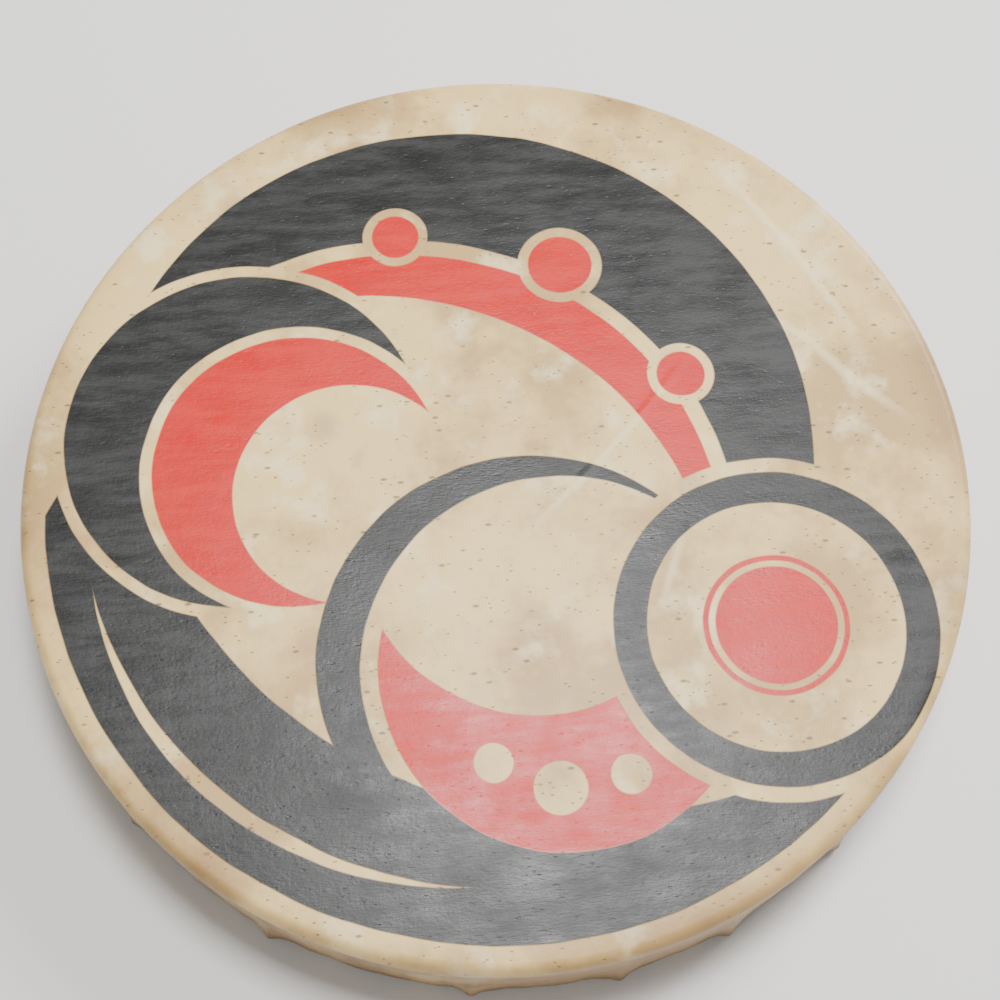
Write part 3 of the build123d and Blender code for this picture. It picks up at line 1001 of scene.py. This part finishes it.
@dataclass
class Lacing:
    """Twenty thongs from the handle ring out to the lip and back, and the knots at two of them."""

    plan: Plan
    per_arm: int = 5
    pitch: float = 3.4 * MM
    half_width: float = 1.55 * MM
    half_thickness: float = 0.68 * MM
    cord_half: float = 1.15 * MM
    ring_grip: float = 4.35 * MM
    ring_turn: float = 4.2 * MM
    fan_start: float = 69.0 * MM
    fan_grip: float = 3.6 * MM
    fan_turn: float = 7.0 * MM
    fan_squeeze: float = 0.9
    tongue_middle: float = 3.75 * MM
    tongue_grip: float = 1.45 * MM
    tongue_turn: float = 1.4 * MM
    flat_at_ring: float = 8.0 * MM
    flat_at_hole: float = 14.0 * MM
    bend_start: float = 62.0 * MM
    bend_length: float = 14.0 * MM
    curl: float = 0.75
    crowding: float = 0.55
    crowd_phase: float = 0.3
    rows: int = 200
    columns: int = 14
    knotted: tuple[int, int] = (2, 12)
    knot_share: float = 0.7
    knot_turns: float = 2.75
    knot_half: float = 2.7 * MM
    knot_clear: float = 0.9 * MM
    knot_length: float = 5.2 * MM
    knot_floor: float = 0.95 * MM
    knot_strip: tuple[float, float] = (1.15 * MM, 0.75 * MM)
    tail_out: float = 7.0 * MM
    tail_rise: float = 1.2 * MM
    tail_along: float = 6.5 * MM

    def corners(self, k: int) -> Array:
        """The six corners of one thong's loop: round the ring, past the lashing, through its hole.

        Args:
            k: the thong's number, from 0.

        Returns:
            The corners, 6 x 3.
        """
        arm, place = (k + 2) // self.per_arm % 4, (k + 2) % self.per_arm - 2
        side = place * self.pitch
        ring_x = sqrt(self.plan.ring_radius**2 - side**2) - self.ring_grip
        high = self.plan.handle_height
        hole_angle = self.plan.hole_angles()[k] - self.plan.arm_angle(arm)
        hx, hy = self.plan.hole_radius * cos(hole_angle), self.plan.hole_radius * sin(hole_angle)
        fan_y = side * self.fan_squeeze
        points = np.array([
            (ring_x, side, high - self.ring_grip),
            (ring_x, side, high + self.ring_grip),
            (self.fan_start, fan_y, high + self.fan_grip),
            (hx, hy, self.tongue_middle + self.tongue_grip),
            (hx, hy, self.tongue_middle - self.tongue_grip),
            (self.fan_start, fan_y, high - self.fan_grip),
        ])
        return spun(points, self.plan.arm_angle(arm))

    def path(self, k: int) -> Array:
        """The loop with its corners rounded, and its rows closer together at the ring and the lip.

        A corner becomes the curve corner + a (1-t)^2 + b t^2, where a and b reach back and on
        along its two sides by its turn. A row's place along the loop is its even share, less a
        sine with two waves in the loop.

        Args:
            k: the thong's number, from 0.

        Returns:
            The closed route, rows x 3.
        """
        corners = self.corners(k)
        turns = (self.ring_turn, self.ring_turn, self.fan_turn, self.tongue_turn, self.tongue_turn,
                 self.fan_turn)
        t = np.linspace(0, 1, 24)[:, None]
        bends = []
        for i, turn in enumerate(turns):
            back = unit(corners[i - 1] - corners[i]) * turn
            on = unit(corners[(i + 1) % 6] - corners[i]) * turn
            bends.append(corners[i] + back * (1 - t) ** 2 + on * t**2)
        loop = np.concatenate(bends + [bends[0][:1]])
        reach = np.append(0, np.cumsum(np.linalg.norm(np.diff(loop, axis=0), axis=1)))
        even = np.linspace(0, reach[-1], self.rows, endpoint=False)
        shift = np.sin(2 * TURN * (even / reach[-1]) + self.crowd_phase)
        crowd = (even - self.crowding * reach[-1] / (2 * TURN) * shift) % reach[-1]
        return np.stack([np.interp(crowd, reach, loop[:, a]) for a in range(3)], axis=1)

    def thong(self, k: int) -> Array:
        """One thong: a flat bar at the ring and the lip, twisted and rounder in between.

        Its twist is two to four half turns times a smooth step, undone on the way back, so that
        the loop closes on itself.

        Args:
            k: the thong's number, from 0.

        Returns:
            The grid.
        """
        path = self.path(k)
        tangent = unit(np.roll(path, -1, axis=0) - np.roll(path, 1, axis=0))
        out = np.linalg.norm(path[:, :2], axis=1)
        ring_end = self.plan.ring_radius + self.flat_at_ring
        hole_end = self.plan.hole_radius - self.flat_at_hole
        share = np.clip((out - ring_end) / (hole_end - ring_end), 0, 1)
        smooth = share**2 * (3 - 2 * share)
        corners = self.corners(k)
        middle = (corners[0] + corners[1]) / 2
        fan = (corners[2] + corners[5]) / 2
        hole = (corners[3] + corners[4]) / 2
        first, second = fan - middle, hole - fan
        blend = np.clip((out - self.bend_start) / self.bend_length, 0, 1)[:, None]
        heading = unit(unit(first) * (1 - blend) + unit(second) * blend)
        across = unit(np.cross(np.array([0.0, 0.0, 1.0]), heading))
        across = unit(across - tangent * np.sum(across * tangent, axis=1, keepdims=True))
        up = np.cross(tangent, across)
        twist = (2 + (k * 7) % 3) * pi * smooth * (-1) ** k
        across, up = (across * np.cos(twist)[:, None] + up * np.sin(twist)[:, None],
                      up * np.cos(twist)[:, None] - across * np.sin(twist)[:, None])
        curled = self.curl * np.sin(pi * share) ** 0.5
        wander = 1 + ripple(share * TURN, k, (2, 0.06), (5, 0.05), (9, 0.03))
        width = (self.half_width * (1 - curled) + self.cord_half * curled) * wander
        height = (self.half_thickness * (1 - curled) + self.cord_half * curled) * wander
        return swept(path, across, up, cross_section(self.columns, width, height, 2.6))

    def knot(self, k: int) -> Array:
        """A hitch round both strands of one thong: turns of an oval helix and a short tail.

        Args:
            k: the thong's number, from 0.

        Returns:
            The grid.
        """
        corners = self.corners(k)
        fan, hole = (corners[2] + corners[5]) / 2, (corners[3] + corners[4]) / 2
        inner_gap, outer_gap = corners[2] - corners[5], corners[3] - corners[4]
        gap = inner_gap * (1 - self.knot_share) + outer_gap * self.knot_share
        middle = fan + (hole - fan) * self.knot_share
        heading = unit(hole - fan)
        side = unit(np.cross(np.array([0.0, 0.0, 1.0]), heading))
        up = np.cross(heading, side)
        t = np.linspace(0, 1, 170)
        tail_start = 0.8
        wound = np.clip(t / tail_start, 0, 1)
        tail = np.clip((t - tail_start) / (1 - tail_start), 0, 1)
        angle = wound * self.knot_turns * TURN
        half_up = gap[2] / 2 + self.knot_clear
        lead = (wound - 0.5) * self.knot_length + 0.6 * MM * np.sin(angle * 0.5)
        puff = 1 + 0.12 * np.sin(pi * wound)
        a = self.knot_half * np.cos(angle) * puff + tail * self.tail_out
        b = half_up * np.sin(angle) * puff + np.sin(tail * pi) * self.tail_rise
        c = lead + tail * self.tail_along
        path = middle + a[:, None] * side + b[:, None] * up + c[:, None] * heading
        path[:, 2] = np.maximum(path[:, 2], self.knot_floor)
        tangent = unit(np.gradient(path, axis=0))
        width_axis = unit(heading - tangent * np.sum(tangent * heading, axis=1, keepdims=True))
        end = np.sqrt(np.clip(np.minimum(t, 1 - t) / 0.012, 0, 1))
        half_width, half_thickness = self.knot_strip
        outline = cross_section(12, half_width * end, half_thickness * end, 2.5)
        return swept(path, width_axis, np.cross(tangent, width_axis), outline)

    def dress(self) -> None:
        """Make the thongs and knots."""
        hide = RAWHIDE_LACE.material()
        for k in range(self.plan.lace_count):
            thong = surface(f"thong_{k + 1:02d}", self.thong(k), round_rows=True, scale=(0.33, 1.0))
            dress(thong, hide, "rawhide_lace", f"lace_{k + 1:02d}")
        for k, name in zip(self.knotted, ("start", "end")):
            knot = surface(f"{name}_hitch", self.knot(k), scale=(0.08, 1.0))
            dress(knot, hide, "rawhide_lace", f"lace_{name}_knot")


@dataclass
class Handle:
    """The rope-like ring at the middle, its four wrapped quarters, the arms' grips and lashings."""

    plan: Plan
    ring_half: float = 3.5 * MM
    ring_strands: int = 3
    ring_twists: int = 9
    wrap_half: float = 4.8 * MM
    wrap_span: float = radians(40.0)
    grip_start: float = 28.0 * MM
    grip_end: float = 60.0 * MM
    grip_half: tuple[float, float] = (10.2 * MM, 8.4 * MM)
    grip_turns: float = 9.0
    lashing_start: float = 60.3 * MM
    lashing_end: float = 65.3 * MM
    lashing_half: tuple[float, float] = (9.2 * MM, 7.4 * MM)
    lashing_turns: float = 6.0
    sleeve_columns: int = 56

    def ring(self) -> Array:
        """The ring: a torus whose section has one lobe for each strand, turning as it goes round.

        The section's radius is half * (0.84 + 0.16 |cos|^0.7), the cosine being of half the
        strand count times the angle round the section, less the twist so far.

        Returns:
            The grid.
        """
        u = np.linspace(0, TURN, 300, endpoint=False)[:, None]
        v = np.linspace(0, TURN, 36, endpoint=False)[None, :]
        lobes = np.abs(np.cos((v * self.ring_strands - u * self.ring_twists * 2) / 2)) ** 0.7
        section = self.ring_half * (0.84 + 0.16 * lobes)
        out = self.plan.ring_radius + section * np.cos(-v)
        up = self.plan.handle_height + section * np.sin(-v)
        return np.stack([out * np.cos(u), out * np.sin(u), up], axis=-1)

    def sleeve(self, path: Array, half: tuple[float, float], turns: float, ridge: float,
               squareness: float, seed: float) -> Array:
        """A strip wound round a core, as one closed skin.

        The section is an outline whose size grows by ridge * saw, where saw climbs across each
        turn of the strip and drops at its edge; the ends close on the core.

        Args:
            path: the core's middle line, rows x 3.
            half: half the width and half the height of the bundle.
            turns: how often the strip goes round.
            ridge: how far each edge stands up.
            squareness: how square the bundle is.
            seed: sets the wandering of the turns.

        Returns:
            The grid.
        """
        rows, columns = len(path), self.sleeve_columns
        tangent = unit(np.gradient(path, axis=0))
        across = unit(np.cross(np.array([0.0, 0.0, 1.0]), tangent))
        up = np.cross(tangent, across)
        t = np.linspace(0, 1, rows)
        ones = np.ones(rows)
        outline = cross_section(columns, ones * half[0], ones * half[1], squareness)
        angle = np.linspace(0, TURN, columns, endpoint=False)[None, :]
        sway = ripple(angle + t[:, None] * 5, seed, (1, 0.10), (2, 0.07), (3, 0.04))
        saw = (t[:, None] * turns - angle / TURN + sway) % 1.0
        step = np.minimum(saw / 0.80, 1) ** 0.7 * np.clip((1 - saw) / 0.20, 0, 1) ** 0.6
        end = np.clip(np.minimum(t, 1 - t) / 0.035, 0, 1)[:, None]
        swell = ripple(t[:, None] * TURN + angle, seed + 2, (1, 0.012), (3, 0.010))
        size = 1 + (step * ridge - ridge * 0.5) / half[0] + swell
        closing = np.where(t[:, None] * (1 - t[:, None]) > 0, 0.80 + 0.20 * np.sqrt(end), 0.0)
        return swept(path, across, up, outline * (size * closing)[..., None])

    def dress(self) -> None:
        """Make the ring, wraps, grips and lashings."""
        ring = surface("rope_ring", self.ring(), round_rows=True, scale=(0.13, 1.0))
        dress(ring, RING_HIDE.material(), "ring_rawhide", "handle_ring")
        leather, sinew = WRAP_LEATHER.material(), SINEW.material()
        for arm in range(4):
            self.wrap(arm, leather)
            grip = self.grip_start, self.grip_end, self.grip_half, self.grip_turns, 0.9 * MM, 190
            wound = self.bound(arm, f"wound_grip_{arm + 1}", *grip)
            dress(wound, leather, "wrap_leather", f"grip_wrap_{arm + 1}")
            lashing = (self.lashing_start, self.lashing_end, self.lashing_half,
                       self.lashing_turns, 0.45 * MM, 84)
            wound = self.bound(arm, f"wound_sinew_{arm + 1}", *lashing)
            dress(wound, sinew, "sinew", f"lashing_{arm + 1}")

    def wrap(self, arm: int, leather: bpy.types.Material) -> None:
        """Wind a thong round the quarter of the ring after one arm.

        Args:
            arm: the arm's number, from 0.
            leather: the wrap's finish.
        """
        u = self.plan.arm_angle(arm) + pi / 4 + np.linspace(-0.5, 0.5, 90) * self.wrap_span
        arc = np.stack([self.plan.ring_radius * np.cos(u), self.plan.ring_radius * np.sin(u),
                        np.full(len(u), self.plan.handle_height)], axis=1)
        wound = self.sleeve(arc, (self.wrap_half, self.wrap_half), 4.0, 0.5 * MM, 2.0, arm + 1)
        piece = surface(f"quarter_wrap_{arm + 1}", wound, scale=(0.015, 1.0))
        dress(piece, leather, "wrap_leather", f"ring_wrap_{arm + 1}")

    def bound(self, arm: int, name: str, start: float, end: float, half: tuple[float, float],
              turns: float, ridge: float, rows: int) -> bpy.types.Object:
        """Bind the laces of one arm.

        Args:
            arm: the arm's number, from 0.
            name: the piece's name.
            start: how far out the binding starts.
            end: how far out it ends.
            half: half the width and half the height of the bundle.
            turns: how often the strip goes round.
            ridge: how far each edge stands up.
            rows: points along it.

        Returns:
            The object.
        """
        out = np.linspace(start, end, rows)
        line = np.stack([out, out * 0, np.full(rows, self.plan.handle_height)], axis=1)
        line = spun(line, self.plan.arm_angle(arm))
        seed = (arm + 1) * 3 + turns
        return surface(name, self.sleeve(line, half, turns, ridge, 3.2, seed), scale=(end - start, 1.0))


@dataclass
class Studio:
    """A pale floor, soft light and the camera."""

    floor_size: float = 8.0
    floor_colour: Colour = (0.88, 0.87, 0.85, 1.0)
    camera_at: tuple[float, float, float] = (-0.0242, -0.2598, 0.739)
    camera_turn: tuple[float, float, float] = (20.49, -1.38, -3.5)
    camera_lens: float = 61.2
    sky_colour: Colour = (1.0, 0.985, 0.96, 1.0)
    sky_strength: float = 0.42

    def floor(self) -> None:
        """A matte sheet under the drum."""
        half = self.floor_size / 2
        line = np.linspace(-half, half, 3)
        x, y = np.meshgrid(line, line)
        grid = np.stack([x, y, x * 0], axis=-1)
        floor = surface("floor", grid, round_columns=False)
        shader = Shader("pale floor")
        floor.data.materials.append(shader.finish(self.floor_colour, 0.85))

    def lamp(self, name: str, at: tuple[float, float, float], size: float, power: float,
             aim: tuple[float, float, float] = (0.0, 0.0, 0.03)) -> None:
        """Hang one square soft light.

        Args:
            name: the light's name.
            at: where it hangs.
            size: its side in metres.
            power: its power in watts.
            aim: the point that it faces.
        """
        data = bpy.data.lights.new(name, "AREA")
        data.size = size
        data.energy = power
        light = bpy.data.objects.new(name, data)
        light.location = at
        light.rotation_euler = (Vector(aim) - Vector(at)).to_track_quat("-Z", "Y").to_euler()
        bpy.context.scene.collection.objects.link(light)

    def build(self) -> None:
        """Set the floor, the lights, the sky and the camera."""
        self.floor()
        self.lamp("overhead", (0.12, 0.24, 1.75), 0.42, 30.0)
        self.lamp("fill", (1.5, 1.3, 1.5), 0.9, 64.0)
        world = bpy.data.worlds.new("sky")
        world.use_nodes = True
        sky = world.node_tree.nodes["Background"]
        sky.inputs["Color"].default_value = self.sky_colour
        sky.inputs["Strength"].default_value = self.sky_strength
        bpy.context.scene.world = world
        data = bpy.data.cameras.new("camera")
        data.lens = self.camera_lens
        camera = bpy.data.objects.new("camera", data)
        turn = Vector([radians(a) for a in self.camera_turn])
        camera.rotation_euler = Quaternion(turn.normalized(), turn.length).to_euler()
        camera.location = self.camera_at
        bpy.context.scene.collection.objects.link(camera)
        bpy.context.scene.camera = camera


def main() -> None:
    """Build and dress every sub-assembly."""
    logging.basicConfig(level=logging.INFO, format="%(name)s: %(message)s")
    plan = Plan()
    RawhideHead(plan).dress()
    Hoop().dress()
    Lacing(plan).dress()
    Handle(plan).dress()
    Studio().build()


if __name__ == "__main__":
    main()
